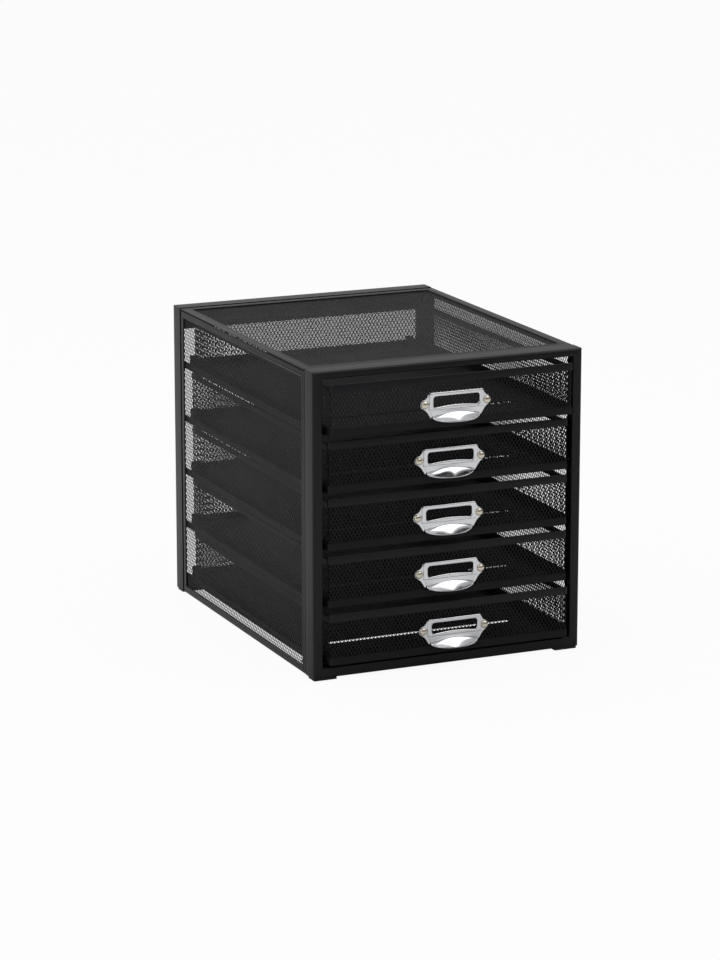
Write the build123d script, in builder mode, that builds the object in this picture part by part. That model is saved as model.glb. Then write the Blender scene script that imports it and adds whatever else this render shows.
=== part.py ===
from build123d import *
from math import cos, radians
import os

# A desktop cabinet of perforated sheet steel with five sliding drawers.
# X runs across the cabinet, Y from front to back, Z up. The origin is the middle of the
# rectangle that the object covers at rest, with the drawers as open as they stand, at the feet.

os.makedirs("parts", exist_ok=True)

# ---- Cabinet, in millimetres ----
cabinet_width = 260.0
cabinet_depth = 335.0
frame_height = 275.0

foot_height = 2.0
foot_width = 22.0
foot_length = 14.0
foot_inset = 1.0
foot_corner = 1.5

# Front and rear frames, rolled from sheet to a channel and mitred at the corners
frame_sheet = 1.2
frame_wrap = 17.5
frame_return = 5.0
frame_bend = 2.0
stile_face = 9.0
top_rail_face = 6.7
bottom_rail_face = 9.4

# Mesh cover and the flat borders that hold its edges
mesh_sheet = 0.4
mesh_lap = 8.0
border_sheet = 1.2
border_groove = 1.7
fold_groove = 2.4
side_border_top = 6.3
side_border_foot = 7.0
side_border_end = 6.7
top_border_side = 9.0
top_border_end = 9.3

# A plain grid of openings stands for the fine holes of the cover and the drawers' side walls
grid_open_share = 0.72
side_grid = (12, 11)
top_grid = (10, 12)
side_wall_grid = (12, 2)

# ---- Drawers, from the top one down ----
drawer_openings = [9.0, 2.0, 2.0, 2.0, 5.5]
pull_shifts = [1.8, -0.2, -1.5, 0.3, 2.9]
drawer_gap = 5.0
drawer_side_gap = 4.5
drawer_top_gap = 3.6
drawer_bottom_gap = 2.8
drawer_corner = 3.0

pan_sheet = 0.6
band_sheet = 0.5
band_height = 7.0
rim_height = 5.5
rim_drop = 2.7
floor_slot_length = 168.0
floor_slot_width = 6.0
floor_slot_setback = 84.0

# ---- Runners under the drawers' long sides ----
runner_sheet = 1.2
runner_frame_gap = 1.3
runner_upstand = 4.6
runner_grip = 8.5
runner_clearance = 0.3
runner_setback = 2.5
stop_height = 8.0
stop_frame_gap = 1.0
stop_edge_gap = 0.5

# ---- Pulls, pressed from sheet, with a label window and a lip for the fingers ----
pull_sheet = 0.9
pull_width = 68.0
pull_ear_height = 9.0
pull_rivet_level = 24.0
pull_rivet_spacing = 59.0
pull_plate_width = 52.0
pull_plate_top = 33.4
pull_plate_corner = 1.5
pull_plate_rise = 3.0
pull_waist_level = 18.5
pull_foot_width = 46.0
pull_foot_level = 11.4
pull_arch_level = 13.0
window_width = 44.4
window_height = 9.8
window_level = 24.9
window_corner = 2.0
lip_reach = 11.5
lip_level = 8.0
lip_front_width = 30.0
lip_bulge = 2.5

rivet_head_radius = 3.5
rivet_head_height = 1.8
rivet_shank_radius = 1.5
rivet_hole_radius = 1.6
rivet_tail_radius = 3.0
rivet_tail_height = 0.8

# ---- Worked out from the sizes above ----
front_reach = max(drawer_openings) + lip_reach
front_y = (front_reach - cabinet_depth) / 2
rear_y = front_y + cabinet_depth
middle_y = (front_y + rear_y) / 2
side_x = cabinet_width / 2
bottom_z = foot_height
top_z = bottom_z + frame_height
opening_bottom = bottom_z + bottom_rail_face
opening_top = top_z - top_rail_face

drawer_count = len(drawer_openings)
stack_height = opening_top - opening_bottom - drawer_top_gap - drawer_bottom_gap
drawer_height = (stack_height + drawer_gap) / drawer_count - drawer_gap
drawer_width = cabinet_width - 2 * (stile_face + drawer_side_gap)
stop_rear_y = rear_y - frame_return - stop_frame_gap
stop_front_y = stop_rear_y - runner_sheet
drawer_depth = stop_front_y - runner_clearance - front_y
mesh_y = band_sheet + mesh_sheet
rim_depth = mesh_y + band_sheet


def save(piece, name):
    """Label one finished piece and write it to its file."""
    piece.part.label = name
    export_step(piece.part, f"parts/{name}.step")


def slab(x_range, y_range, z_range):
    """Add a rectangular slab between the given limits to the open part."""
    limits = (x_range, y_range, z_range)
    middle = [(low + high) / 2 for low, high in limits]
    size = [high - low for low, high in limits]
    with Locations(tuple(middle)):
        Box(*size)


def grid_openings(centre, size, count):
    """Cut a plain grid of openings that fills a field of the open sketch."""
    pitch = [length / number for length, number in zip(size, count)]
    with Locations(centre):
        with GridLocations(*pitch, *count):
            Rectangle(pitch[0] * grid_open_share, pitch[1] * grid_open_share, mode=Mode.SUBTRACT)


# ---- Front and rear frames ----
def frame_member(name, corners, inner_corners, inward_direction, face_width, face_y, backward):
    """One mitred side of a frame: a channel whose face lies at face_y."""
    (x_1, z_1), (x_2, z_2) = corners
    centre = Vector((x_1 + x_2) / 2, face_y, (z_1 + z_2) / 2)
    length = abs(x_2 - x_1) + abs(z_2 - z_1)
    across = Vector(*inward_direction)
    section_plane = Plane(centre, x_dir=across, z_dir=across.cross(Vector(0, backward, 0)))
    return_start = face_width - frame_sheet
    with BuildPart() as member:
        with BuildSketch(section_plane) as section:
            with BuildLine():
                Polyline(
                    (0, 0),
                    (face_width, 0),
                    (face_width, frame_return),
                    (return_start, frame_return),
                    (return_start, frame_sheet),
                    (frame_sheet, frame_sheet),
                    (frame_sheet, frame_wrap),
                    (0, frame_wrap),
                    close=True,
                )
            make_face()
            fillet(section.vertices().sort_by_distance((0, 0))[0], frame_bend)
            inner_bend = section.vertices().sort_by_distance((frame_sheet, frame_sheet))[0]
            fillet(inner_bend, frame_bend - frame_sheet)
        extrude(amount=length / 2, both=True)
        with BuildSketch(Plane.XZ):
            with BuildLine():
                Polyline(corners[0], corners[1], inner_corners[1], inner_corners[0], close=True)
            make_face()
        extrude(amount=cabinet_depth, both=True, mode=Mode.INTERSECT)
    save(member, name)


def make_frame(prefix, face_y, backward):
    """The four mitred members of one frame, going round from the left stile."""
    inner_x = side_x - stile_face
    outer = [(-side_x, bottom_z), (-side_x, top_z), (side_x, top_z), (side_x, bottom_z)]
    inner = [
        (-inner_x, opening_bottom),
        (-inner_x, opening_top),
        (inner_x, opening_top),
        (inner_x, opening_bottom),
    ]
    sides = ["left", "top", "right", "bottom"]
    faces = [stile_face, top_rail_face, stile_face, bottom_rail_face]
    inward = [(1, 0, 0), (0, 0, -1), (-1, 0, 0), (0, 0, 1)]
    for index, side in enumerate(sides):
        after = (index + 1) % len(sides)
        frame_member(
            f"{prefix}_frame_{side}",
            (outer[index], outer[after]),
            (inner[index], inner[after]),
            inward[index],
            faces[index],
            face_y,
            backward,
        )


make_frame("front", front_y, 1)
make_frame("rear", rear_y, -1)

# ---- Mesh cover ----
mesh_front_y = front_y + frame_wrap - mesh_lap
mesh_rear_y = rear_y - frame_wrap + mesh_lap
cover_length = mesh_rear_y - mesh_front_y
cover_top = top_z - frame_sheet
cover_x = side_x - frame_sheet
cover_side_base = bottom_z + frame_sheet
cover_side_height = cover_top - mesh_sheet - cover_side_base

border_length = cabinet_depth - 2 * (frame_wrap + border_groove)
side_border_height = frame_height - fold_groove
side_window_length = border_length - 2 * side_border_end
side_window_height = side_border_height - side_border_top - side_border_foot
side_window_middle = bottom_z + side_border_foot + side_window_height / 2
top_window_width = cabinet_width - 2 * top_border_side
top_window_length = border_length - 2 * top_border_end


def side_mesh(name, plane_x, thickness):
    """The mesh sheet of one side, open in a grid inside its border."""
    with BuildPart() as mesh:
        with BuildSketch(Plane.YZ.offset(plane_x)):
            with Locations((middle_y, cover_side_base + cover_side_height / 2)):
                Rectangle(cover_length, cover_side_height)
            grid_openings(
                (middle_y, side_window_middle),
                (side_window_length, side_window_height),
                side_grid,
            )
        extrude(amount=thickness)
    save(mesh, name)


side_mesh("left_side_mesh", -cover_x, mesh_sheet)
side_mesh("right_side_mesh", cover_x, -mesh_sheet)

with BuildPart() as top_mesh:
    with BuildSketch(Plane.XY.offset(cover_top)):
        with Locations((0, middle_y)):
            Rectangle(2 * cover_x, cover_length)
        grid_openings((0, middle_y), (top_window_width, top_window_length), top_grid)
    extrude(amount=-mesh_sheet)
save(top_mesh, "top_mesh")


# ---- Flat borders over the mesh's edges ----
def side_border(name, plane_x, thickness):
    """The flat border of one side panel, from plane_x towards the middle by thickness."""
    with BuildPart() as border:
        with BuildSketch(Plane.YZ.offset(plane_x)):
            with Locations((middle_y, bottom_z + side_border_height / 2)):
                Rectangle(border_length, side_border_height)
            with Locations((middle_y, side_window_middle)):
                Rectangle(side_window_length, side_window_height, mode=Mode.SUBTRACT)
        extrude(amount=thickness)
    save(border, name)


side_border("left_border", -side_x, border_sheet)
side_border("right_border", side_x, -border_sheet)

with BuildPart() as top_border:
    with BuildSketch(Plane.XY.offset(top_z)):
        with Locations((0, middle_y)):
            Rectangle(cabinet_width, border_length)
            Rectangle(top_window_width, top_window_length, mode=Mode.SUBTRACT)
    extrude(amount=-border_sheet)
save(top_border, "top_border")

# ---- Feet ----
foot_x = side_x - foot_inset - foot_width / 2
foot_edge = foot_inset + foot_length / 2
with BuildPart() as feet:
    with BuildSketch(Plane.XY):
        with Locations(
            (-foot_x, front_y + foot_edge),
            (foot_x, front_y + foot_edge),
            (-foot_x, rear_y - foot_edge),
            (foot_x, rear_y - foot_edge),
        ):
            RectangleRounded(foot_width, foot_length, foot_corner)
    extrude(amount=foot_height)
save(feet, "feet")


# ---- Runners ----
def make_runners(number, drawer_base):
    """The left and right angle that carry one drawer, each with a stop at its rear end."""
    web_inner = side_x - stile_face + frame_sheet + runner_frame_gap
    web_outer = web_inner + runner_sheet
    ledge_inner = drawer_width / 2 - runner_grip
    ledge_top = drawer_base - runner_clearance
    ledge_bottom = ledge_top - runner_sheet
    ledge_front_y = front_y + frame_return + runner_setback
    with BuildPart() as runners:
        slab(
            (-web_outer, -web_inner),
            (front_y + frame_sheet, rear_y - frame_sheet),
            (ledge_bottom, drawer_base + runner_upstand),
        )
        slab((-web_inner, -ledge_inner), (ledge_front_y, stop_rear_y), (ledge_bottom, ledge_top))
        slab(
            (-drawer_width / 2 + stop_edge_gap, -ledge_inner),
            (stop_front_y, stop_rear_y),
            (ledge_top, drawer_base + stop_height),
        )
        mirror(about=Plane.YZ)
    save(runners, f"runners_{number}")


# ---- Drawers ----
def drawer_plan(face_y, inset, mode=Mode.ADD):
    """Add the drawer's rounded plan, drawn in by inset all round, to the open sketch."""
    with Locations((0, face_y + drawer_depth / 2)):
        RectangleRounded(
            drawer_width - 2 * inset,
            drawer_depth - 2 * inset,
            drawer_corner - inset,
            mode=mode,
        )


def plan_part(x_range, y_range):
    """Keep only a rectangle of the open sketch."""
    with Locations(((x_range[0] + x_range[1]) / 2, (y_range[0] + y_range[1]) / 2)):
        Rectangle(x_range[1] - x_range[0], y_range[1] - y_range[0], mode=Mode.INTERSECT)


def make_pan(number, face_y, base):
    """The drawer's solid floor with a band turned up round it."""
    with BuildPart() as pan:
        with BuildSketch(Plane.XY.offset(base)):
            drawer_plan(face_y, 0)
        extrude(amount=band_height)
        with BuildSketch(Plane.XY.offset(base + pan_sheet)):
            drawer_plan(face_y, band_sheet)
        extrude(amount=band_height, mode=Mode.SUBTRACT)
        with BuildSketch(Plane.XY.offset(base)):
            with Locations((0, face_y + floor_slot_setback)):
                SlotOverall(floor_slot_length, floor_slot_width)
        extrude(amount=pan_sheet, mode=Mode.SUBTRACT)
    save(pan, f"drawer_{number}_pan")


def make_rim(number, face_y, top):
    """The folded strip that closes over the walls' top edges, higher at the front."""
    half_width = drawer_width / 2
    side_top = top - rim_drop
    front_part = ((-half_width, half_width), (face_y, face_y + drawer_corner))
    rear_part = ((-half_width, half_width), (face_y + drawer_corner, face_y + drawer_depth))
    with BuildPart() as rim:
        for (x_range, y_range), part_top, height in (
            (front_part, top, band_height),
            (rear_part, side_top, rim_height),
        ):
            with BuildSketch(Plane.XY.offset(part_top)):
                drawer_plan(face_y, 0)
                drawer_plan(face_y, rim_depth, Mode.SUBTRACT)
                plan_part(x_range, y_range)
            extrude(amount=-height)
            with BuildSketch(Plane.XY.offset(part_top - band_sheet)):
                drawer_plan(face_y, band_sheet)
                drawer_plan(face_y, mesh_y, Mode.SUBTRACT)
                plan_part(x_range, y_range)
            extrude(amount=-height, mode=Mode.SUBTRACT)
    save(rim, f"drawer_{number}_rim")


def end_wall(name, face_y, base, top, y_range, rivet_places=()):
    """The front or back mesh wall with its rounded corners, standing inside the pan's band."""
    with BuildPart() as wall:
        with BuildSketch(Plane.XY.offset(base + pan_sheet)):
            drawer_plan(face_y, band_sheet)
            drawer_plan(face_y, mesh_y, Mode.SUBTRACT)
            plan_part((-drawer_width / 2, drawer_width / 2), y_range)
        extrude(amount=top - band_sheet - base - pan_sheet)
        if rivet_places:
            with BuildSketch(Plane.XZ.offset(-face_y)):
                with Locations(*rivet_places):
                    Circle(rivet_hole_radius)
            extrude(amount=-drawer_corner, mode=Mode.SUBTRACT)
    save(wall, name)


def side_wall(name, inner_x, outward, base, top, y_range):
    """The left or right mesh wall, flat between the rounded corners of the end walls."""
    field_low = base + band_height
    field_high = top - rim_height
    length = y_range[1] - y_range[0]
    wall_middle = (y_range[0] + y_range[1]) / 2
    with BuildPart() as wall:
        with BuildSketch(Plane.YZ.offset(outward * inner_x)):
            with Locations((wall_middle, (base + pan_sheet + top - band_sheet) / 2)):
                Rectangle(length, top - band_sheet - base - pan_sheet)
            grid_openings(
                (wall_middle, (field_low + field_high) / 2),
                (length, field_high - field_low),
                side_wall_grid,
            )
        extrude(amount=outward * mesh_sheet)
    save(wall, name)


def make_pull(number, centre_x, face_y, base):
    """The pressed pull: ears on the mesh, a raised frame round a label window, and a lip."""
    seat_point = (centre_x, face_y + band_sheet, base)
    seat = Plane(seat_point, x_dir=(1, 0, 0), z_dir=(0, -1, 0))
    plate_half = pull_plate_width / 2
    foot_half = pull_foot_width / 2
    plate_depth = pull_plate_rise + pull_sheet

    with BuildSketch(Plane.XY) as outline:
        with BuildLine():
            ThreePointArc((-foot_half, pull_foot_level), (0, pull_arch_level), (foot_half, pull_foot_level))
            Polyline(
                (foot_half, pull_foot_level),
                (plate_half, pull_waist_level),
                (plate_half, pull_plate_top),
                (-plate_half, pull_plate_top),
                (-plate_half, pull_waist_level),
                (-foot_half, pull_foot_level),
            )
        make_face()
        fillet(outline.vertices().group_by(Axis.Y)[-1], pull_plate_corner)

    # The lip leaves the plate downward and curves round to point forward
    lip_depth = lip_reach + band_sheet
    bend_share = 1 - cos(radians(45))
    bend_depth = pull_plate_rise + (lip_depth - pull_plate_rise) * bend_share
    bend_level = lip_level + (pull_arch_level - lip_level) * bend_share
    bend_sheet = pull_sheet * cos(radians(45))
    front_half = lip_front_width / 2
    bulge_half = (foot_half + front_half) / 2 + lip_bulge
    bulge_depth = (plate_depth + lip_depth) / 2
    with BuildPart() as lip:
        with BuildSketch(Plane(seat_point, x_dir=(0, -1, 0), z_dir=(-1, 0, 0))):
            with BuildLine():
                under = ThreePointArc(
                    (pull_plate_rise, pull_arch_level),
                    (bend_depth, bend_level),
                    (lip_depth, lip_level),
                )
                over = ThreePointArc(
                    (lip_depth, lip_level + pull_sheet),
                    (bend_depth + bend_sheet, bend_level + bend_sheet),
                    (plate_depth, pull_arch_level + pull_sheet),
                )
                Line(under @ 1, over @ 0)
                Polyline(over @ 1, (pull_plate_rise, pull_arch_level + pull_sheet), under @ 0)
            make_face()
        extrude(amount=foot_half, both=True)
        with BuildSketch(Plane(seat_point, x_dir=(1, 0, 0), z_dir=(0, 0, 1))):
            with BuildLine():
                right = ThreePointArc(
                    (foot_half, -pull_plate_rise),
                    (bulge_half, -bulge_depth),
                    (front_half, -lip_depth),
                )
                left = ThreePointArc(
                    (-front_half, -lip_depth),
                    (-bulge_half, -bulge_depth),
                    (-foot_half, -pull_plate_rise),
                )
                Line(right @ 1, left @ 0)
                Line(left @ 1, right @ 0)
            make_face()
        extrude(amount=pull_plate_top, mode=Mode.INTERSECT)

    with BuildPart() as pull:
        with BuildSketch(seat):
            add(outline.sketch)
        extrude(amount=plate_depth)
        with BuildSketch(seat):
            add(outline.sketch)
            offset(amount=-pull_sheet, mode=Mode.REPLACE)
        extrude(amount=pull_plate_rise, mode=Mode.SUBTRACT)
        with BuildSketch(seat):
            with Locations((0, window_level)):
                RectangleRounded(window_width, window_height, window_corner)
        extrude(amount=plate_depth, mode=Mode.SUBTRACT)
        with BuildSketch(seat):
            with Locations((0, pull_rivet_level)):
                SlotOverall(pull_width, pull_ear_height)
                Rectangle(pull_plate_width - 2 * pull_sheet, pull_ear_height, mode=Mode.SUBTRACT)
                with GridLocations(pull_rivet_spacing, 0, 2, 1):
                    Circle(rivet_hole_radius, mode=Mode.SUBTRACT)
        extrude(amount=pull_sheet)
        add(lip.part)
    save(pull, f"drawer_{number}_pull")


def make_rivets(number, centre_x, face_y, base):
    """Two domed rivets through the pull's ears and the mesh, each closed over behind the mesh."""
    head_y = -pull_sheet
    with BuildPart() as rivets:
        for side in (-1, 1):
            rivet_point = (
                centre_x + side * pull_rivet_spacing / 2,
                face_y + band_sheet,
                base + pull_rivet_level,
            )
            with BuildSketch(Plane(rivet_point, x_dir=(1, 0, 0), z_dir=(0, 0, 1))):
                with BuildLine():
                    dome = RadiusArc(
                        (rivet_head_radius, head_y),
                        (0, head_y - rivet_head_height),
                        (rivet_head_radius**2 + rivet_head_height**2) / (2 * rivet_head_height),
                    )
                    Polyline(
                        dome @ 1,
                        (0, mesh_sheet + rivet_tail_height),
                        (rivet_tail_radius, mesh_sheet + rivet_tail_height),
                        (rivet_tail_radius, mesh_sheet),
                        (rivet_shank_radius, mesh_sheet),
                        (rivet_shank_radius, head_y),
                        dome @ 0,
                    )
                make_face()
            revolve(axis=Axis(rivet_point, (0, 1, 0)))
    save(rivets, f"drawer_{number}_rivets")


def make_drawer(number, opening, pull_shift):
    """One drawer, drawn out by its opening, with the runners that carry it."""
    base = opening_top - drawer_top_gap - number * drawer_height - (number - 1) * drawer_gap
    top = base + drawer_height
    face_y = front_y - opening
    back_y = face_y + drawer_depth
    wall_inner_x = drawer_width / 2 - mesh_y
    front_end = (face_y, face_y + drawer_corner)
    back_end = (back_y - drawer_corner, back_y)
    between_ends = (front_end[1], back_end[0])
    rivet_x = pull_rivet_spacing / 2
    rivet_places = [(pull_shift + x, base + pull_rivet_level) for x in (-rivet_x, rivet_x)]
    side_top = top - rim_drop
    name = f"drawer_{number}"

    make_runners(number, base)
    make_pan(number, face_y, base)
    make_rim(number, face_y, top)
    end_wall(f"{name}_front_mesh", face_y, base, top, front_end, rivet_places)
    end_wall(f"{name}_back_mesh", face_y, base, side_top, back_end)
    side_wall(f"{name}_left_mesh", wall_inner_x, -1, base, side_top, between_ends)
    side_wall(f"{name}_right_mesh", wall_inner_x, 1, base, side_top, between_ends)
    make_pull(number, pull_shift, face_y, base)
    make_rivets(number, pull_shift, face_y, base)


for index, (opening, pull_shift) in enumerate(zip(drawer_openings, pull_shifts)):
    make_drawer(index + 1, opening, pull_shift)
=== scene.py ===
"""A desktop cabinet of perforated black steel with five sliding drawers and bright label pulls."""

import math

import bmesh
import bpy
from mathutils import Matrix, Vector


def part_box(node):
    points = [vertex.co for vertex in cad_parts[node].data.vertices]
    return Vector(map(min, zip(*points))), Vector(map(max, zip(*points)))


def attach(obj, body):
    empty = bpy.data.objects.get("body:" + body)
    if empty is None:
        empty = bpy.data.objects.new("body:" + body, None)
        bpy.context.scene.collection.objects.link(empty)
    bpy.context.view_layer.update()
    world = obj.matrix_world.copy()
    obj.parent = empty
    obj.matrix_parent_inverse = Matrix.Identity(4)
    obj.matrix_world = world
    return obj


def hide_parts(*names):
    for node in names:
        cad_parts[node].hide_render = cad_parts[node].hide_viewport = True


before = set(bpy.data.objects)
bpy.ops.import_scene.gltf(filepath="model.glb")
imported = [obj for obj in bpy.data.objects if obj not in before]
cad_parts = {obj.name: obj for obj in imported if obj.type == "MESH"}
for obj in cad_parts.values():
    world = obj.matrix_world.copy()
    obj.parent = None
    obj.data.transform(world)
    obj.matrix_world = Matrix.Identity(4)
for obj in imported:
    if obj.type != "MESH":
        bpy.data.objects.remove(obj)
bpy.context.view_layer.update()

MM = 0.001
DRAWERS = (1, 2, 3, 4, 5)

# ---- Camera, in the photograph's frame ----
IMAGE_WIDTH = 720
FOCAL_PIXELS = 3561.0
SENSOR_WIDTH = 36.0
CAMERA_PLACE = Vector((-1300.99, -2906.36, 918.57)) * MM
CAMERA_YAW = math.radians(23.85)
CAMERA_PITCH = math.radians(13.84)

# ---- Perforated sheet: diamond holes in staggered rows ----
MESH_SHORT = 3.57 * MM
MESH_LONG = 5.80 * MM
MESH_SHEET = 0.2 * MM
# The strand's share of the way from a cell's corner to its middle
STRAND_SHARE = 0.25
COVER_BEND = 1.8 * MM
COVER_BEND_STEPS = 4
COVER_LEG = 1.2 * MM
# The sides' plain ends, which the frames cover
FRAME_LAP = 8.0 * MM

# ---- Front and rear frames, each a channel rolled from sheet ----
FRAME_SHEET = 1.2 * MM
FRAME_WRAP = 17.5 * MM
FRAME_RETURN = 5.0 * MM
FRAME_BEND = 2.0 * MM
RETURN_BEND = 1.0 * MM
STILE_FACE = 9.0 * MM
TOP_RAIL_FACE = 6.7 * MM
BOTTOM_RAIL_FACE = 9.4 * MM
BEND_STEPS = 5
MITRE_SEAM = 0.07 * MM
CORNER_PLATE_REACH = 34.0 * MM
CORNER_PLATE_RUN = 26.0 * MM
CORNER_PLATE_CUT = 12.0 * MM
STRIP_HEIGHT = 17.0 * MM
STRIP_HEM = 1.4 * MM
STRIP_SHEET = 0.7 * MM

# ---- Flat borders over the cover's edges ----
SIDE_TOP = 6.3 * MM
SIDE_FOOT = 7.0 * MM
SIDE_END = 6.7 * MM
TOP_SIDE = 9.0 * MM
TOP_END = 9.3 * MM
# The band's section, from its outer foot round to its inner one:
# (share of the band's width, more in mm, height in mm)
BORDER_SECTION = (
    (0, 0.0, 0.0), (0, 0.0, 0.5), (0, 0.08, 0.72), (0, 0.3, 0.8),
    (1, -3.5, 0.8), (1, -3.1, 0.84), (1, -2.6, 1.08), (1, -1.9, 1.2),
    (1, -1.2, 1.2), (1, -0.5, 1.06), (1, -0.1, 0.7), (1, 0.0, 0.0),
)

# ---- Drawers ----
DRAWER_CORNER = 3.0 * MM
BAND_SHEET = 0.5 * MM
BAND_HEIGHT = 7.0 * MM
# Radians round the fold along the band's upper edge
BAND_FOLD_TURNS = (0.7, 1.57, 2.4)
PAN_SHEET = 0.6 * MM
PAN_EASE = 0.4 * MM
SLOT_SETBACK = 66.0 * MM
SLOT_LENGTH = 180.0 * MM
SLOT_WIDTH = 6.0 * MM
RIM_HEIGHT = 5.5 * MM
RIM_DROP = 2.7 * MM
RIM_DEPTH = 1.4 * MM
RIM_STEPS = 6
CORNER_STEPS = 5

# ---- Pulls; depths are measured forward from the drawer's mesh ----
PULL_SHEET = 0.9 * MM
# Ears and scoop are pressed thinner than the plate
THIN_SHARE = 0.7
PLATE_HALF = 26.0 * MM
PLATE_TOP = 31.8 * MM
PLATE_DEPTH = 2.7 * MM
PLATE_CORNER = 1.2 * MM
GROOVE_LEVEL = 16.2 * MM
WINDOW_HALF = 22.2 * MM
WINDOW_LOW = 18.4 * MM
WINDOW_HIGH = 28.2 * MM
WINDOW_CORNER = 2.7 * MM
WINDOW_ARCH = 1.4 * MM
EDGE_STEPS = 12
# The raised frame's two edges in mm: (distance from the edge, depth behind the front face)
PLATE_EDGE = ((0.0, 2.7), (0.0, 0.8), (0.12, 0.35), (0.45, 0.07), (0.9, 0.0))
WINDOW_EDGE = ((1.0, 0.0), (0.5, 0.12), (0.12, 0.5), (0.0, 1.0), (0.0, 2.5))
APRON_DEPTH = 2.4 * MM
# Exponents that draw the apron in towards the foot, across and in depth
APRON_DRAW = 0.6
APRON_SINK = 1.5
APRON_ROWS = 5
APRON_COLUMNS = 20
FOOT_HALF = 22.6 * MM
FOOT_LEVEL = 9.8 * MM
FOOT_DEPTH = 1.6 * MM
ARCH_LEVEL = 13.8 * MM
ARCH_BEAD = 0.5 * MM
ARCH_STEPS = 24
BEAD_SIDES = 8
CREASE_DEPTH = 2.6 * MM
CREASE_FLATNESS = 4
LIP_DEPTH = 10.6 * MM
LIP_LEVEL = 5.3 * MM
LIP_ARCH = 1.1 * MM
LIP_BEAD = 0.45 * MM
# How far the bead's middle lies below the lip, as a share of its radius
LIP_BEAD_DROP = 0.4
# Exponents: how much the lip narrows to its front, and how late it rises to the foot
LIP_TAPER = 1.5
LIP_RISE = 2.5
# Rows run from the crease to the lip, columns along them
SCOOP_ROWS = 12
SCOOP_COLUMNS = 32
# Exponent of the scoop's way forward: over 1, it leaves the crease steeply
SCOOP_HOLLOW = 1.3
# One ear's outline in mm: (distance from the pull's middle, height over the drawer's base)
EAR_OUTLINE = (
    (24.0, 30.9), (26.1, 30.5), (27.3, 28.3), (29.0, 26.2), (31.6, 25.0), (33.6, 23.2), (34.0, 21.0),
    (33.3, 18.7), (31.2, 17.0), (28.8, 15.3), (27.0, 13.1), (25.4, 10.5), (24.0, 8.6), (21.6, 12.0),
)
EAR_EASE = 0.25 * MM
RIVET_HALF_SPACING = 30.0 * MM
RIVET_LEVEL = 21.2 * MM
RIVET_RADIUS = 3.7 * MM
RIVET_RISE = 2.5 * MM
RIVET_RINGS = 6
RIVET_SIDES = 28

# ---- Edges: eased on the CAD nodes that stay, and sharp above an angle ----
EDGE_BEVEL = 0.25 * MM
WELD_REACH = 0.002 * MM
SHARP_ANGLE = math.radians(35)

# ---- Finishes: scales per metre, and levels of detail, of the noises ----
PATCH_SCALE = 28.0
PATCH_DETAIL = 4.0
PEEL_DETAIL = 2.0
WAVE_SCALE = 160.0
WAVE_DETAIL = 1.0

# ---- Floor, room and lamps ----
FLOOR_REACH = 12.0
FLOOR_COLOUR = (0.80, 0.80, 0.80)
FLOOR_ROUGHNESS = 0.9
FLOOR_SHINE = 0.1
# How much of the floor's look is plain white to the camera; the rest takes light and shadow
FLOOR_GLOW = 0.94
# The room's brightness along this axis, between two cosines of the angle to it
ROOM_AXIS = Vector((-0.30, 0.55, 0.78))
ROOM_DARK = 0.10
ROOM_BRIGHT = 0.70
ROOM_DARK_END = -0.5
ROOM_BRIGHT_END = 0.9
# Each lamp: name, place, the point that it faces, (width, height) in metres, power in watts
LAMPS = (
    ("top_softbox", (-0.5, 0.6, 2.2), (0.0, 0.0, 0.2), (1.6, 1.6), 13.0),
    ("left_softbox", (-2.2, -0.4, 1.4), (0.0, 0.0, 0.15), (1.2, 1.4), 8.0),
    ("front_softbox", (0.80, -1.00, 1.75), (0.0, -0.15, 0.15), (1.4, 1.5), 8.0),
)


def make_camera():
    data = bpy.data.cameras.new("camera")
    data.sensor_fit = "HORIZONTAL"
    data.sensor_width = SENSOR_WIDTH
    data.lens = SENSOR_WIDTH * FOCAL_PIXELS / IMAGE_WIDTH
    camera = bpy.data.objects.new("camera", data)
    camera.location = CAMERA_PLACE
    camera.rotation_euler = (math.pi / 2 - CAMERA_PITCH, 0, -CAMERA_YAW)
    bpy.context.scene.collection.objects.link(camera)
    bpy.context.scene.camera = camera


make_camera()


# ---- Materials ----
def new_material(name):
    material = bpy.data.materials.new(name)
    material.use_nodes = True
    return material, material.node_tree.nodes, material.node_tree.links


def surface_noise(nodes, links, scale, detail):
    """Noise in the object's own coordinates, which are metres."""
    place = nodes.new("ShaderNodeTexCoord")
    noise = nodes.new("ShaderNodeTexNoise")
    noise.inputs["Scale"].default_value = scale
    noise.inputs["Detail"].default_value = detail
    links.new(place.outputs["Object"], noise.inputs["Vector"])
    return noise


def map_range(nodes, links, source, low, high):
    scale = nodes.new("ShaderNodeMapRange")
    scale.inputs["To Min"].default_value = low
    scale.inputs["To Max"].default_value = high
    links.new(source, scale.inputs["Value"])
    return scale.outputs["Result"]


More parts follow.
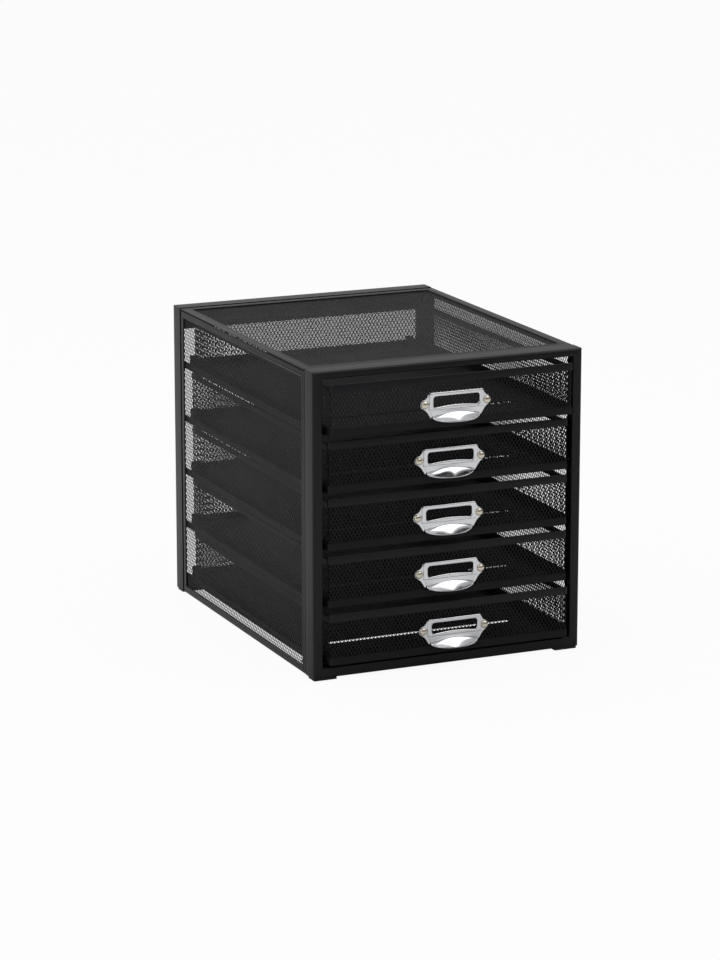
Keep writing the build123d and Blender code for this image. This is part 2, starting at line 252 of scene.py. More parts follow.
def finish_material(name, dark, light, roughness, metallic, peel_scale, peel_height, wave=0.0, **sockets):
    """A finish whose colour and gloss vary a little, with a fine relief. Heights are in metres."""
    material, nodes, links = new_material(name)
    shader = nodes["Principled BSDF"]
    shader.inputs["Metallic"].default_value = metallic
    for socket, value in sockets.items():
        shader.inputs[socket.replace("_", " ")].default_value = value
    patches = surface_noise(nodes, links, PATCH_SCALE, PATCH_DETAIL)
    mix = nodes.new("ShaderNodeMix")
    mix.data_type = "RGBA"
    mix.inputs["A"].default_value = (*dark, 1)
    mix.inputs["B"].default_value = (*light, 1)
    links.new(patches.outputs["Fac"], mix.inputs["Factor"])
    links.new(mix.outputs["Result"], shader.inputs["Base Color"])
    links.new(map_range(nodes, links, patches.outputs["Fac"], *roughness), shader.inputs["Roughness"])
    peel = surface_noise(nodes, links, peel_scale, PEEL_DETAIL)
    bump = nodes.new("ShaderNodeBump")
    bump.inputs["Strength"].default_value = 1.0
    bump.inputs["Distance"].default_value = peel_height
    links.new(peel.outputs["Fac"], bump.inputs["Height"])
    if wave:
        waviness = surface_noise(nodes, links, WAVE_SCALE, WAVE_DETAIL)
        wave_bump = nodes.new("ShaderNodeBump")
        wave_bump.inputs["Distance"].default_value = wave
        links.new(waviness.outputs["Fac"], wave_bump.inputs["Height"])
        links.new(wave_bump.outputs["Normal"], bump.inputs["Normal"])
    links.new(bump.outputs["Normal"], shader.inputs["Normal"])
    return material


PAINT = finish_material(
    "black_powder_coat", dark=(0.0058, 0.0055, 0.0070), light=(0.0092, 0.0086, 0.0110),
    roughness=(0.30, 0.42), metallic=0.0, peel_scale=1400.0, peel_height=0.00002, Specular_IOR_Level=0.25,
)
MESH_PAINT = finish_material(
    "black_mesh_coat", dark=(0.0055, 0.0055, 0.0062), light=(0.0085, 0.0083, 0.0095),
    roughness=(0.32, 0.46), metallic=0.0, peel_scale=1800.0, peel_height=0.00001, Specular_IOR_Level=0.18,
)
# The pans' coat: rougher than the paint, as a dull coat is, and a little darker, which is painted shade for
# the drawers' dim insides
SHADED_PAN_PAINT = finish_material(
    "dull_shaded_pan_coat", dark=(0.0050, 0.0048, 0.0060), light=(0.0080, 0.0076, 0.0095),
    roughness=(0.50, 0.62), metallic=0.0, peel_scale=1400.0, peel_height=0.00002, Specular_IOR_Level=0.22,
)
CHROME = finish_material(
    "bright_plating", dark=(0.74, 0.745, 0.77), light=(0.82, 0.825, 0.845),
    roughness=(0.08, 0.17), metallic=1.0, peel_scale=2600.0, peel_height=0.000002, wave=0.00001,
)
NICKEL = finish_material(
    "warm_nickel", dark=(0.72, 0.66, 0.54), light=(0.84, 0.78, 0.66),
    roughness=(0.16, 0.30), metallic=1.0, peel_scale=2400.0, peel_height=0.000005,
)
RUBBER = finish_material(
    "foot_rubber", dark=(0.010, 0.010, 0.010), light=(0.018, 0.018, 0.018),
    roughness=(0.65, 0.85), metallic=0.0, peel_scale=2200.0, peel_height=0.00004,
)


# ---- Mesh helpers ----
def new_piece(name, points, faces, body, material, slot, nodes, smooth=True):
    """A piece from points in metres, riding on a body and standing for the CAD nodes named."""
    mesh = bpy.data.meshes.new(name)
    mesh.from_pydata(points, [], faces)
    mesh.materials.append(material)
    if smooth:
        mesh.shade_smooth()
        mesh.set_sharp_from_angle(angle=SHARP_ANGLE)
    piece = bpy.data.objects.new(name, mesh)
    bpy.context.scene.collection.objects.link(piece)
    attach(piece, body)
    if nodes:
        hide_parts(*nodes)
    return piece


def dress(node, material):
    """Give a CAD node its finish, with its edges eased."""
    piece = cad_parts[node]
    piece.data.materials.clear()
    piece.data.materials.append(material)
    weld = piece.modifiers.new("weld", "WELD")
    weld.merge_threshold = WELD_REACH
    ease = piece.modifiers.new("ease", "BEVEL")
    ease.width = EDGE_BEVEL
    ease.segments = 2
    ease.limit_method = "ANGLE"
    ease.angle_limit = SHARP_ANGLE


def face_outward(piece):
    """Turn a closed piece's faces outward."""
    mesh = bmesh.new()
    mesh.from_mesh(piece.data)
    bmesh.ops.recalc_face_normals(mesh, faces=mesh.faces)
    mesh.to_mesh(piece.data)
    mesh.free()


def loop_faces(loops, count, closed=False):
    """Quads from each loop of count points to the next, and from the last to the first if closed."""
    faces = []
    for index in range(loops if closed else loops - 1):
        here, after = index * count, (index + 1) % loops * count
        for a in range(count):
            b = (a + 1) % count
            faces.append((here + a, here + b, after + b, after + a))
    return faces


def capped_faces(loops, count):
    """The faces of a solid of loops of count points, closed by the first loop and the last."""
    last = (loops - 1) * count
    caps = [tuple(reversed(range(count))), tuple(range(last, last + count))]
    return loop_faces(loops, count) + caps


def arc_plan(centre, radius, start, end, steps):
    """Points on an arc, each with the direction that points away from its centre."""
    plan = []
    for step in range(steps + 1):
        angle = math.radians(start + (end - start) * step / steps)
        away = Vector((math.cos(angle), math.sin(angle)))
        plan.append((centre + away * radius, away))
    return plan


def rounded_plan(half_width, low, high, radius):
    """A rounded rectangle's four corners, from the front left one round to the left rear one."""
    inner = half_width - radius
    corners = (
        (Vector((-inner, low + radius)), 180),
        (Vector((inner, low + radius)), 270),
        (Vector((inner, high - radius)), 0),
        (Vector((-inner, high - radius)), 90),
    )
    return [arc_plan(centre, radius, start, start + 90, CORNER_STEPS) for centre, start in corners]


def walker(plan):
    """A function that gives the point and outward direction at a length along a plan, and its length."""
    lengths = [0.0]
    for (a, _), (b, _) in zip(plan, plan[1:]):
        lengths.append(lengths[-1] + (b - a).length)

    def walk(length):
        index = 0
        while index < len(plan) - 2 and lengths[index + 1] < length:
            index += 1
        span = lengths[index + 1] - lengths[index]
        share = (length - lengths[index]) / span
        (a, away_a), (b, away_b) = plan[index], plan[index + 1]
        return a.lerp(b, share), away_a.lerp(away_b, share).normalized()

    return walk, lengths[-1]


def sweep(plan, section):
    """A solid of one section along a plan. The section's points are (inset, height)."""
    points, faces = [], []
    count = len(section)
    for place, away in plan:
        for inset, height in section:
            ground = place - away * inset
            points.append((ground.x, ground.y, height))
    for index in range(len(plan) - 1):
        here, after = index * count, (index + 1) * count
        for a in range(count):
            b = (a + 1) % count
            faces.append((here + a, after + a, after + b, here + b))
    faces.append(tuple(range(count)))
    faces.append(tuple(reversed(range(len(points) - count, len(points)))))
    return points, faces


def joined(*parts):
    """Several sets of points and faces as one."""
    points, faces = [], []
    for part_points, part_faces in parts:
        start = len(points)
        points += part_points
        faces += [tuple(start + corner for corner in face) for face in part_faces]
    return points, faces


def ring_shell(loops):
    """A closed tube of loops, each a list of as many points, the last joined to the first."""
    points = [point for loop in loops for point in loop]
    return points, loop_faces(len(loops), len(loops[0]), closed=True)


def grid_faces(rows, columns):
    """Quads of a grid of points, row by row."""
    faces = []
    for row in range(rows - 1):
        for column in range(columns - 1):
            corner = row * columns + column
            faces.append((corner, corner + 1, corner + columns + 1, corner + columns))
    return faces


def thick_grid(grid, thickness):
    """A closed shell from a grid of points, thickened behind its face."""
    rows, columns = len(grid), len(grid[0])
    front = [point for row in grid for point in row]
    back = []
    for r in range(rows):
        for c in range(columns):
            across = grid[r][min(c + 1, columns - 1)] - grid[r][max(c - 1, 0)]
            down = grid[min(r + 1, rows - 1)][c] - grid[max(r - 1, 0)][c]
            back.append(grid[r][c] - across.cross(down).normalized() * thickness)
    faces = grid_faces(rows, columns)
    total = rows * columns
    faces += [tuple(total + corner for corner in reversed(face)) for face in faces]
    rim = list(range(columns)) + [r * columns + columns - 1 for r in range(1, rows)]
    rim += [total - 1 - c for c in range(1, columns)]
    rim += [r * columns for r in range(rows - 2, 0, -1)]
    for a, b in zip(rim, rim[1:] + rim[:1]):
        faces.append((b, a, total + a, total + b))
    return front + back, faces


def tube(path, radius):
    """A closed round bead along a path of points."""
    points = []
    for index, place in enumerate(path):
        along = path[min(index + 1, len(path) - 1)] - path[max(index - 1, 0)]
        side = along.cross(Vector((0, 1, 0))).normalized()
        up = side.cross(along).normalized()
        for step in range(BEAD_SIDES):
            angle = 2 * math.pi * step / BEAD_SIDES
            points.append(place + (side * math.cos(angle) + up * math.sin(angle)) * radius)
    return points, capped_faces(len(path), BEAD_SIDES)


def diamond_sheet(width, height, pitch_u, pitch_v, place, margin=0.0):
    """Points and faces of a sheet with diamond holes, closed all round.

    place(u, v, w) gives the point at u and v on the flat sheet, w behind its outer face.
    Half steps along u and v number the grid: holes are centred where the two numbers' sum is
    even, and the strands cross where it is odd. A plain margin can run past both ends of u.
    """
    columns, rows = round(width / pitch_u), round(height / pitch_v)
    step_u, step_v = width / (2 * columns), height / (2 * rows)
    last_i, last_j = 2 * columns, 2 * rows
    points, faces, numbers = [], [], {}

    def number(spot, side):
        key = (*spot, side)
        if key not in numbers:
            numbers[key] = len(points)
            points.append(place(spot[0] * step_u, spot[1] * step_v, side * MESH_SHEET))
        return numbers[key]

    def both_faces(*spots):
        faces.append([number(spot, 0) for spot in spots])
        faces.append([number(spot, 1) for spot in reversed(spots)])

    def edge_face(a, b):
        faces.append([number(b, 0), number(a, 0), number(a, 1), number(b, 1)])

    reach = 1 - STRAND_SHARE
    for i in range(last_i + 1):
        for j in range(i % 2, last_j + 1, 2):
            cell = [(i + 1, j), (i, j + 1), (i - 1, j), (i, j - 1)]
            if 0 < i < last_i and 0 < j < last_j:
                hole = [(i + reach, j), (i, j + reach), (i - reach, j), (i, j - reach)]
                for a, b in ((0, 1), (1, 2), (2, 3), (3, 0)):
                    both_faces(cell[a], cell[b], hole[b], hole[a])
                    edge_face(hole[b], hole[a])
                continue
            kept = [(m, n) for m, n in cell if 0 <= m <= last_i and 0 <= n <= last_j]
            if len(kept) == 2:
                kept.append((i, j))
                if (i, j) == (0, last_j):
                    kept.reverse()
            both_faces(*kept)

    low = [(i, 0) for i in [0, *range(1, last_i, 2), last_i]]
    high = [(i, last_j) for i, _ in low]
    for edge, order in ((low, 1), (high, -1)):
        for a, b in zip(edge, edge[1:]):
            edge_face(*(a, b)[::order])
    overlap = margin / step_u
    for i, outward in ((0, -1), (last_i, 1)):
        edge = [(i, j) for j in [0, *range(1, last_j, 2), last_j]]
        far = [(i + outward * overlap, j) for _, j in edge]
        for a, b, far_a, far_b in zip(edge, edge[1:], far, far[1:]):
            if not margin:
                edge_face(*(a, b)[::outward])
                continue
            both_faces(*(a, far_a, far_b, b)[::outward])
            edge_face(*(far_a, far_b)[::outward])
        if margin:
            edge_face(*(edge[0], far[0])[::outward])
            edge_face(*(far[-1], edge[-1])[::outward])
    return points, faces


def standing_sheet(plan, low_z, high_z, margin=0.0):
    """A perforated sheet that stands along a plan, with its holes upright."""
    walk, length = walker(plan)

    def place(u, v, w):
        spot, away = walk(u + margin)
        spot = spot - away * w
        return spot.x, spot.y, low_z + v

    return diamond_sheet(length - 2 * margin, high_z - low_z, MESH_SHORT, MESH_LONG, place, margin)


def straight_plan(start, end, away):
    """A straight plan whose outward direction is away."""
    return [(Vector(start), Vector(away)), (Vector(end), Vector(away))]


# ---- Cabinet ----
def make_cover():
    """The perforated cover: two sides and a top that folds down over them."""
    side_low, side_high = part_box("left_side_mesh")
    top_low, top_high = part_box("top_mesh")
    bend_bottom = top_high.z - COVER_BEND
    left_plan = straight_plan((side_low.x, side_high.y), (side_low.x, side_low.y), (-1, 0))
    right_plan = straight_plan((-side_low.x, side_low.y), (-side_low.x, side_high.y), (1, 0))
    sides = (("left_side_mesh", left_plan), ("right_side_mesh", right_plan))
    for node, plan in sides:
        points, faces = standing_sheet(plan, side_low.z, bend_bottom - COVER_LEG, margin=FRAME_LAP)
        new_piece(node + "_holes", points, faces, "cabinet", MESH_PAINT, "black_mesh", [node], False)

    bend_x = top_high.x - COVER_BEND
    leg = [(Vector((-top_high.x, bend_bottom - COVER_LEG)), Vector((-1, 0)))]
    profile = leg + arc_plan(Vector((-bend_x, bend_bottom)), COVER_BEND, 180, 90, COVER_BEND_STEPS)
    profile += arc_plan(Vector((bend_x, bend_bottom)), COVER_BEND, 90, 0, COVER_BEND_STEPS)
    profile.append((Vector((top_high.x, bend_bottom - COVER_LEG)), Vector((1, 0))))
    walk, length = walker(profile)

    def place(u, v, w):
        spot, away = walk(u)
        spot = spot - away * w
        return spot.x, top_low.y + v, spot.y

    points, faces = diamond_sheet(length, top_high.y - top_low.y, MESH_LONG, MESH_SHORT, place)
    new_piece("top_mesh_holes", points, faces, "cabinet", MESH_PAINT, "black_mesh", ["top_mesh"], False)


def frame_section(face):
    """A frame member's channel: (distance in from its outer side, distance back from its face)."""
    section = [(0.0, FRAME_WRAP)]
    for step in range(BEND_STEPS + 1):
        angle = math.pi / 2 * step / BEND_STEPS
        section.append((FRAME_BEND * (1 - math.cos(angle)), FRAME_BEND * (1 - math.sin(angle))))
    for step in range(BEND_STEPS + 1):
        angle = math.pi / 2 * step / BEND_STEPS
        section.append((face - RETURN_BEND * (1 - math.sin(angle)), RETURN_BEND * (1 - math.cos(angle))))
    section += [
        (face, FRAME_RETURN),
        (face - FRAME_SHEET, FRAME_RETURN),
        (face - FRAME_SHEET, FRAME_SHEET),
        (FRAME_SHEET, FRAME_SHEET),
        (FRAME_SHEET, FRAME_WRAP),
    ]
    return section


def make_frame(prefix, backward):
    """The four members of one frame, mitred at the corners, with a fine seam between them."""
    corner_low, corner_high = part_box(f"{prefix}_frame_left")
    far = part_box(f"{prefix}_frame_right")[1]
    face_y = corner_low.y if backward > 0 else corner_high.y
    left, right, bottom, top = corner_low.x, far.x, corner_low.z, corner_high.z
    members = (
        ("left", STILE_FACE, (left, bottom), (1, 0), (0, 1), top - bottom, BOTTOM_RAIL_FACE, TOP_RAIL_FACE),
        ("right", STILE_FACE, (right, top), (-1, 0), (0, -1), top - bottom, TOP_RAIL_FACE, BOTTOM_RAIL_FACE),
        ("top", TOP_RAIL_FACE, (left, top), (0, -1), (1, 0), right - left, STILE_FACE, STILE_FACE),
        ("bottom", BOTTOM_RAIL_FACE, (right, bottom), (0, 1), (-1, 0), right - left, STILE_FACE, STILE_FACE),
    )
    for side, face, start, inward, along, length, first_face, last_face in members:
        points = []
        for end in (0, 1):
            for inset, back in frame_section(face):
                run = inset * (last_face if end else first_face) / face + MITRE_SEAM
                run = length - run if end else run
                points.append((
                    start[0] + inward[0] * inset + along[0] * run,
                    face_y + backward * back,
                    start[1] + inward[1] * inset + along[1] * run,
                ))
        faces = capped_faces(2, len(points) // 2)
        if backward < 0:
            faces = [tuple(reversed(face)) for face in faces]
        node = f"{prefix}_frame_{side}"
        new_piece(node + "_channel", points, faces, "cabinet", PAINT, "black_paint", [node])


def make_corner_shade_plates():
    """A dark plate in each bottom corner, level with the rails' inner flanges: painted shade that hides the
    floor in the corners' shadow.
    """
    low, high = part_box("front_frame_bottom")
    rear_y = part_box("rear_frame_bottom")[1].y
    half = high.x - FRAME_SHEET
    ends = ((low.y + FRAME_RETURN, 1), (rear_y - FRAME_RETURN, -1))
    parts = []
    for side in (-1, 1):
        for start, inward in ends:
            outline = (
                (side * half, start),
                (side * (half - CORNER_PLATE_REACH), start),
                (side * (half - CORNER_PLATE_REACH), start + inward * CORNER_PLATE_CUT),
                (side * (half - CORNER_PLATE_CUT), start + inward * CORNER_PLATE_RUN),
                (side * half, start + inward * CORNER_PLATE_RUN),
            )
            points = [(x, y, z) for z in (high.z - FRAME_SHEET, high.z) for x, y in outline]
            parts.append((points, capped_faces(2, len(outline))))
    face_outward(new_piece("corner_shade_plates", *joined(*parts), "cabinet", PAINT, "black_paint", []))


def make_rear_strip():
    """The strip that closes the gap under the rear frame's top rail."""
    low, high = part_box("rear_frame_top")
    back = high.y - FRAME_SHEET
    half = high.x - STILE_FACE
    hem_top = 2 * STRIP_HEM - STRIP_HEIGHT
    section = (
        (0.0, 0.0),
        (0.0, -STRIP_HEIGHT),
        (-STRIP_HEM, -STRIP_HEIGHT),
        (-STRIP_HEM, hem_top),
        (-STRIP_SHEET, hem_top),
        (-STRIP_SHEET, 0.0),
    )
    points = [(x, back + across, low.z + up) for x in (-half, half) for across, up in section]
    faces = capped_faces(2, len(section))
    face_outward(new_piece("rear_top_strip", points, faces, "cabinet", PAINT, "black_paint", []))


def border_ring(low, high, widths, place):
    """A flat band round a rectangle, with a bead along its inner edge and mitred corners."""
    left, right, bottom, top = widths
    points = []
    for share, more, height in BORDER_SECTION:
        more *= MM
        p_low, p_high = low[0] + share * left + more, high[0] - share * right - more
        q_low, q_high = low[1] + share * bottom + more, high[1] - share * top - more
        for p, q in ((p_low, q_low), (p_high, q_low), (p_high, q_high), (p_low, q_high)):
            points.append(place(p, q, height * MM))
    return points, loop_faces(len(BORDER_SECTION), 4, closed=True)


def make_borders():
    """The three flat borders, each a band seated on the cover."""
    for node, outward in (("left_border", -1), ("right_border", 1)):
        low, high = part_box(node)
        seat = high.x if outward < 0 else low.x
        widths = (SIDE_END, SIDE_END, SIDE_FOOT, SIDE_TOP)
        points, faces = border_ring(
            (low.y, low.z), (high.y, high.z), widths, lambda p, q, h: (seat + outward * h, p, q)
        )
        if outward < 0:
            faces = [tuple(reversed(face)) for face in faces]
        new_piece(node + "_band", points, faces, "cabinet", PAINT, "black_paint", [node])
    low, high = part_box("top_border")
    widths = (TOP_SIDE, TOP_SIDE, TOP_END, TOP_END)
    points, faces = border_ring(
        (low.x, low.y), (high.x, high.y), widths, lambda p, q, h: (p, q, low.z + h)
    )
    new_piece("top_border_band", points, faces, "cabinet", PAINT, "black_paint", ["top_border"])


# ---- Drawers ----
def rim_section(top, height):
    """The folded rim's section: straight skins closed by a rounded top."""
    middle = RIM_DEPTH / 2
    section = [(0.0, top - height)]
    for step in range(RIM_STEPS + 1):
        angle = math.pi * step / RIM_STEPS
        section.append((middle - middle * math.cos(angle), top - middle + middle * math.sin(angle)))
    section.append((RIM_DEPTH, top - height))
    return section


def make_pan(number, plan, low):
    """The drawer's floor, with a slot near the front, and the band turned up round it."""
    base, floor = low.z, low.z + PAN_SHEET
    edge = base + BAND_HEIGHT
    fold = BAND_SHEET / 2
    section = [(PAN_EASE, base), (0.0, base + PAN_EASE), (0.0, edge - fold)]
    for turn in BAND_FOLD_TURNS:
        section.append((fold * (1 - math.cos(turn)), edge - fold + fold * math.sin(turn)))
    section += [(BAND_SHEET, edge - fold), (BAND_SHEET, floor)]
    corners = [spot for corner in plan for spot in corner]
    radius = SLOT_WIDTH / 2
    reach = SLOT_LENGTH / 2 - radius
    slot = []
    for side, start in ((-1, 180), (1, 270), (1, 0), (-1, 90)):
        centre = Vector((reach * side, low.y + SLOT_SETBACK))
        slot += arc_plan(centre, radius, start, start + 90, CORNER_STEPS)
    loops = []
    for inset, height in section:
        loops.append([Vector((*(spot - away * inset), height)) for spot, away in corners])
    loops += [[Vector((*spot, height)) for spot, _ in slot] for height in (floor, base)]
    points, faces = ring_shell(loops)
    node = f"drawer_{number}_pan"
    body = f"drawer_{number}"
    # The pan takes the dull coat, whose darker colour is painted shade
    face_outward(new_piece(node + "_tray", points, faces, body, SHADED_PAN_PAINT, "black_paint", [node]))


def make_rim(number, plan, top):
    """The rim folded over the walls: higher and deeper along the front than round the rest."""
    front = plan[0] + plan[1]
    rest = [plan[1][-1]] + plan[2] + plan[3] + [plan[0][0]]
    side_top = top - RIM_DROP
    points, faces = joined(
        sweep(front, rim_section(top, BAND_HEIGHT)), sweep(rest, rim_section(side_top, RIM_HEIGHT))
    )
    node = f"drawer_{number}_rim"
    new_piece(node + "_fold", points, faces, f"drawer_{number}", PAINT, "black_paint", [node])


def make_walls(number, low, high, top):
    """The four perforated walls, standing inside the pan's band."""
    inner = rounded_plan(
        high.x - BAND_SHEET, low.y + BAND_SHEET, high.y - BAND_SHEET, DRAWER_CORNER - BAND_SHEET
    )
    side_top = top - RIM_DROP
    walls = (
        ("front", inner[0] + inner[1], top),
        ("right", [inner[1][-1], inner[2][0]], side_top),
        ("back", inner[2] + inner[3], side_top),
        ("left", [inner[3][-1], inner[0][0]], side_top),
    )
    for side, wall_plan, wall_top in walls:
        points, faces = standing_sheet(wall_plan, low.z + PAN_SHEET, wall_top - RIM_DEPTH / 2)
        node = f"drawer_{number}_{side}_mesh"
        body = f"drawer_{number}"
        new_piece(node + "_holes", points, faces, body, MESH_PAINT, "black_mesh", [node], False)


def make_drawer(number):
    low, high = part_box(f"drawer_{number}_pan")
    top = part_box(f"drawer_{number}_rim")[1].z
    plan = rounded_plan(high.x, low.y, high.y, DRAWER_CORNER)
    make_rim(number, plan, top)
    make_walls(number, low, high, top)
    make_pan(number, plan, low)
    make_pull(number, low)


# ---- Pulls ----
def loop_points(half_width, low, high, radius, depth, arch=0.0):
    """A rounded rectangle in the pull's own axes; its lower edge can arch upward."""
    points = []
    corners = (
        (-1, low + radius, 180), (1, low + radius, 270), (1, high - radius, 0), (-1, high - radius, 90),
    )
    for side, level, start in corners:
        if start == 270:
            for step in range(1, EDGE_STEPS):
                share = step / EDGE_STEPS * 2 - 1
                lift = arch * (1 - share * share)
                points.append(Vector((share * (half_width - radius), depth, low + lift)))
        for step in range(CORNER_STEPS + 1):
            angle = math.radians(start + 90 * step / CORNER_STEPS)
            x = side * (half_width - radius) + radius * math.cos(angle)
            points.append(Vector((x, depth, level + radius * math.sin(angle))))
        if start == 0:
            for step in range(1, EDGE_STEPS):
                share = 1 - step / EDGE_STEPS * 2
                points.append(Vector((share * (half_width - radius), depth, high)))
    return points


def pull_frame():
    """The raised frame round the label window."""
    def plate_loop(shrink, depth):
        return loop_points(
            PLATE_HALF - shrink, GROOVE_LEVEL + shrink, PLATE_TOP - shrink, PLATE_CORNER, depth
        )

    def window_loop(grow, depth):
        return loop_points(
            WINDOW_HALF + grow, WINDOW_LOW - grow, WINDOW_HIGH + grow,
            WINDOW_CORNER + grow, depth, WINDOW_ARCH,
        )

    loops = [plate_loop(shrink * MM, PLATE_DEPTH - behind * MM) for shrink, behind in PLATE_EDGE]
    loops += [window_loop(grow * MM, PLATE_DEPTH - behind * MM) for grow, behind in WINDOW_EDGE]
    return ring_shell(loops)


def crease(share):
    """The arched line where the apron meets the scoop; share runs from -1 to 1."""
    level = FOOT_LEVEL + (ARCH_LEVEL - FOOT_LEVEL) * (1 - share * share)
    depth = FOOT_DEPTH + (CREASE_DEPTH - FOOT_DEPTH) * (1 - share**CREASE_FLATNESS)
    return Vector((share * FOOT_HALF, depth, level))


def lip_edge(share):
    """The scoop's outer edge: it narrows to its front seen from above, and rises to the foot."""
    angle = share * math.pi / 2
    across = math.sin(angle)
    forward = abs(math.cos(angle)) ** LIP_TAPER
    level = LIP_LEVEL + LIP_ARCH * (1 - share * share)
    level += (FOOT_LEVEL - LIP_LEVEL) * abs(share) ** LIP_RISE
    return Vector((across * FOOT_HALF, FOOT_DEPTH + (LIP_DEPTH - FOOT_DEPTH) * forward, level))


def pull_apron():
    """The plate below the window, drawn in towards the foot, with walls down its flanks."""
    grid = []
    for row in range(APRON_ROWS + 1):
        down = row / APRON_ROWS
        line = []
        for column in range(APRON_COLUMNS + 1):
            share = column / APRON_COLUMNS * 2 - 1
            foot = crease(share)
            half = PLATE_HALF - (PLATE_HALF - FOOT_HALF) * down**APRON_DRAW
            level = GROOVE_LEVEL + (foot.z - GROOVE_LEVEL) * down
            depth = APRON_DEPTH + (foot.y - APRON_DEPTH) * down**APRON_SINK
            line.append(Vector((share * half, depth, level)))
        left, right = line[0], line[-1]
        line = [Vector((left.x, 0.0, left.z))] + line + [Vector((right.x, 0.0, right.z))]
        grid.append(line)
    return thick_grid(grid, PULL_SHEET)


def pull_scoop():
    """The hollow of the pull: it leaves the crease steeply and curves out to the lip."""
    grid = []
    for row in range(SCOOP_ROWS + 1):
        down = row / SCOOP_ROWS
        forward = down**SCOOP_HOLLOW
        line = []
        for column in range(SCOOP_COLUMNS + 1):
            share = column / SCOOP_COLUMNS * 2 - 1
            start, end = crease(share), lip_edge(share)
            line.append(Vector((
                start.x + (end.x - start.x) * forward,
                start.y + (end.y - start.y) * forward,
                start.z + (end.z - start.z) * down,
            )))
        grid.append(line)
    edge = [place - Vector((0, 0, LIP_BEAD * LIP_BEAD_DROP)) for place in grid[-1]]
    return joined(thick_grid(grid, PULL_SHEET * THIN_SHARE), tube(edge, LIP_BEAD))


def pull_ears():
    """The flat tabs that the rivets hold, each with a hollow edge down to the foot."""
    parts = []
    for side in (-1, 1):
        outline = [(side * across * MM, level * MM) for across, level in EAR_OUTLINE]
        if side < 0:
            outline.reverse()
        count = len(outline)
        middle_x = sum(x for x, _ in outline) / count
        middle_z = sum(z for _, z in outline) / count
        points = []
        for shrink, depth in ((0.0, 0.0), (0.0, PULL_SHEET * THIN_SHARE), (EAR_EASE, PULL_SHEET)):
            for x, z in outline:
                inward = Vector((middle_x - x, 0, middle_z - z)).normalized() * shrink
                points.append(Vector((x, depth, z)) + inward)
        parts.append((points, capped_faces(3, count)))
    return joined(*parts)


def rivet_head(centre_x):
    """A low dome on an ear, standing forward from the mesh."""
    points, faces = [], []
    for ring in range(RIVET_RINGS):
        angle = math.pi / 2 * ring / RIVET_RINGS
        radius = RIVET_RADIUS * math.cos(angle)
        depth = PULL_SHEET + RIVET_RISE * math.sin(angle) if ring else 0.0
        for side in range(RIVET_SIDES):
            turn = 2 * math.pi * side / RIVET_SIDES
            points.append(Vector((
                centre_x + radius * math.cos(turn), depth, RIVET_LEVEL + radius * math.sin(turn)
            )))
    points.append(Vector((centre_x, PULL_SHEET + RIVET_RISE, RIVET_LEVEL)))
    for ring in range(RIVET_RINGS - 1):
        for side in range(RIVET_SIDES):
            here, after = ring * RIVET_SIDES + side, ring * RIVET_SIDES + (side + 1) % RIVET_SIDES
            faces.append((here, here + RIVET_SIDES, after + RIVET_SIDES, after))
    last = (RIVET_RINGS - 1) * RIVET_SIDES
    for side in range(RIVET_SIDES):
        faces.append((last + side, len(points) - 1, last + (side + 1) % RIVET_SIDES))
    faces.append(tuple(range(RIVET_SIDES)))
    return points, faces


def make_pull(number, pan_low):
    """One pull. Its parts are shaped round its middle, then put on the drawer's mesh."""
    node = f"drawer_{number}_pull"
    low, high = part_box(node)
    middle_x = (low.x + high.x) / 2
    arch = tube([crease(2 * step / ARCH_STEPS - 1) for step in range(ARCH_STEPS + 1)], ARCH_BEAD)
    pressing = joined(pull_frame(), pull_apron(), arch, pull_scoop(), pull_ears())
    heads = joined(rivet_head(-RIVET_HALF_SPACING), rivet_head(RIVET_HALF_SPACING))
    pieces = (
        (node + "_pressing", pressing, CHROME, "pull_chrome", node),
        (f"drawer_{number}_rivet_heads", heads, NICKEL, "rivet_nickel", f"drawer_{number}_rivets"),
    )
    for name, (points, faces), material, slot, stands_for in pieces:
        placed = [(middle_x + p.x, high.y - p.y, pan_low.z + p.z) for p in points]
        face_outward(new_piece(name, placed, faces, f"drawer_{number}", material, slot, [stands_for]))


# ---- Floor, background and light ----
def make_floor():
    """A pale floor, white to the camera but for a faint shadow."""
    mesh = bpy.data.meshes.new("floor")
    corners = ((-1, -1), (1, -1), (1, 1), (-1, 1))
    points = [(FLOOR_REACH * x, FLOOR_REACH * y, 0) for x, y in corners]
    mesh.from_pydata(points, [], [(0, 1, 2, 3)])
    floor = bpy.data.objects.new("floor", mesh)
    bpy.context.scene.collection.objects.link(floor)
    material, nodes, links = new_material("pale_floor")
    shader = nodes["Principled BSDF"]
    shader.inputs["Base Color"].default_value = (*FLOOR_COLOUR, 1)
    shader.inputs["Roughness"].default_value = FLOOR_ROUGHNESS
    shader.inputs["Specular IOR Level"].default_value = FLOOR_SHINE
    glow = nodes.new("ShaderNodeEmission")
    glow.inputs["Color"].default_value = (1, 1, 1, 1)
    rays = nodes.new("ShaderNodeLightPath")
    share = nodes.new("ShaderNodeMath")
    share.operation = "MULTIPLY"
    share.inputs[1].default_value = FLOOR_GLOW
    links.new(rays.outputs["Is Camera Ray"], share.inputs[0])
    mix = nodes.new("ShaderNodeMixShader")
    links.new(share.outputs[0], mix.inputs["Fac"])
    links.new(shader.outputs["BSDF"], mix.inputs[1])
    links.new(glow.outputs["Emission"], mix.inputs[2])
    links.new(mix.outputs["Shader"], nodes["Material Output"].inputs["Surface"])
    mesh.materials.append(material)


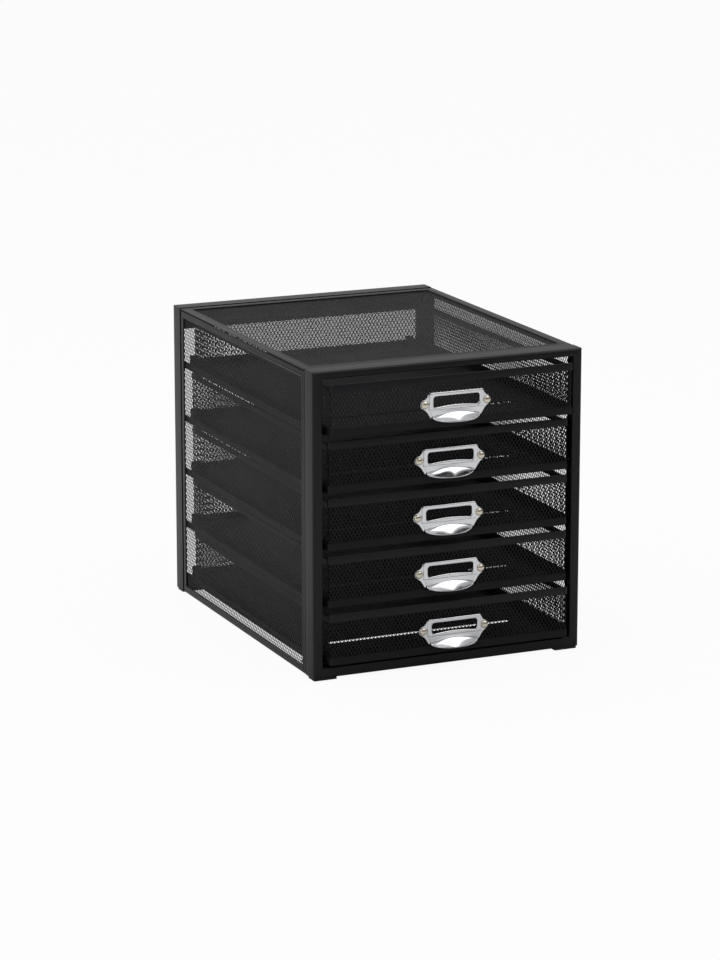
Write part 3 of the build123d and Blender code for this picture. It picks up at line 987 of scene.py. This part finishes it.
def make_world():
    """White to the camera; to everything else a soft room, brighter above, behind and at the left."""
    world = bpy.data.worlds.new("studio")
    bpy.context.scene.world = world
    world.use_nodes = True
    nodes, links = world.node_tree.nodes, world.node_tree.links
    place = nodes.new("ShaderNodeTexCoord")
    toward = nodes.new("ShaderNodeVectorMath")
    toward.operation = "DOT_PRODUCT"
    toward.inputs[1].default_value = ROOM_AXIS.normalized()
    links.new(place.outputs["Generated"], toward.inputs[0])
    level = nodes.new("ShaderNodeMapRange")
    level.inputs["From Min"].default_value = ROOM_DARK_END
    level.inputs["From Max"].default_value = ROOM_BRIGHT_END
    level.inputs["To Min"].default_value = ROOM_DARK
    level.inputs["To Max"].default_value = ROOM_BRIGHT
    links.new(toward.outputs["Value"], level.inputs["Value"])
    room = nodes["Background"]
    room.inputs["Color"].default_value = (1, 1, 1, 1)
    links.new(level.outputs["Result"], room.inputs["Strength"])
    white = nodes.new("ShaderNodeBackground")
    white.inputs["Color"].default_value = (1, 1, 1, 1)
    rays = nodes.new("ShaderNodeLightPath")
    mix = nodes.new("ShaderNodeMixShader")
    links.new(rays.outputs["Is Camera Ray"], mix.inputs["Fac"])
    links.new(room.outputs["Background"], mix.inputs[1])
    links.new(white.outputs["Background"], mix.inputs[2])
    links.new(mix.outputs["Shader"], nodes["World Output"].inputs["Surface"])


def make_lamp(name, place, aim, size, power):
    """A softbox at a place, turned to the point that it faces."""
    data = bpy.data.lights.new(name, "AREA")
    data.shape = "RECTANGLE"
    data.size, data.size_y = size
    data.energy = power
    lamp = bpy.data.objects.new(name, data)
    lamp.location = place
    lamp.rotation_euler = (Vector(aim) - Vector(place)).to_track_quat("-Z", "Y").to_euler()
    bpy.context.scene.collection.objects.link(lamp)


# ---- The scene ----
make_cover()
make_borders()
for drawer in DRAWERS:
    make_drawer(drawer)
make_frame("front", 1)
make_frame("rear", -1)
make_rear_strip()
# Dark plates in the bottom corners, painted shade over the floor there
make_corner_shade_plates()
# This second call lays a copy of the shade plates, a second object with .001 after its name, exactly on the
# first
make_corner_shade_plates()
for drawer in DRAWERS:
    dress(f"runners_{drawer}", PAINT)
dress("feet", RUBBER)
make_floor()
make_world()
for lamp in LAMPS:
    make_lamp(*lamp)
bpy.context.scene.view_settings.view_transform = "Standard"
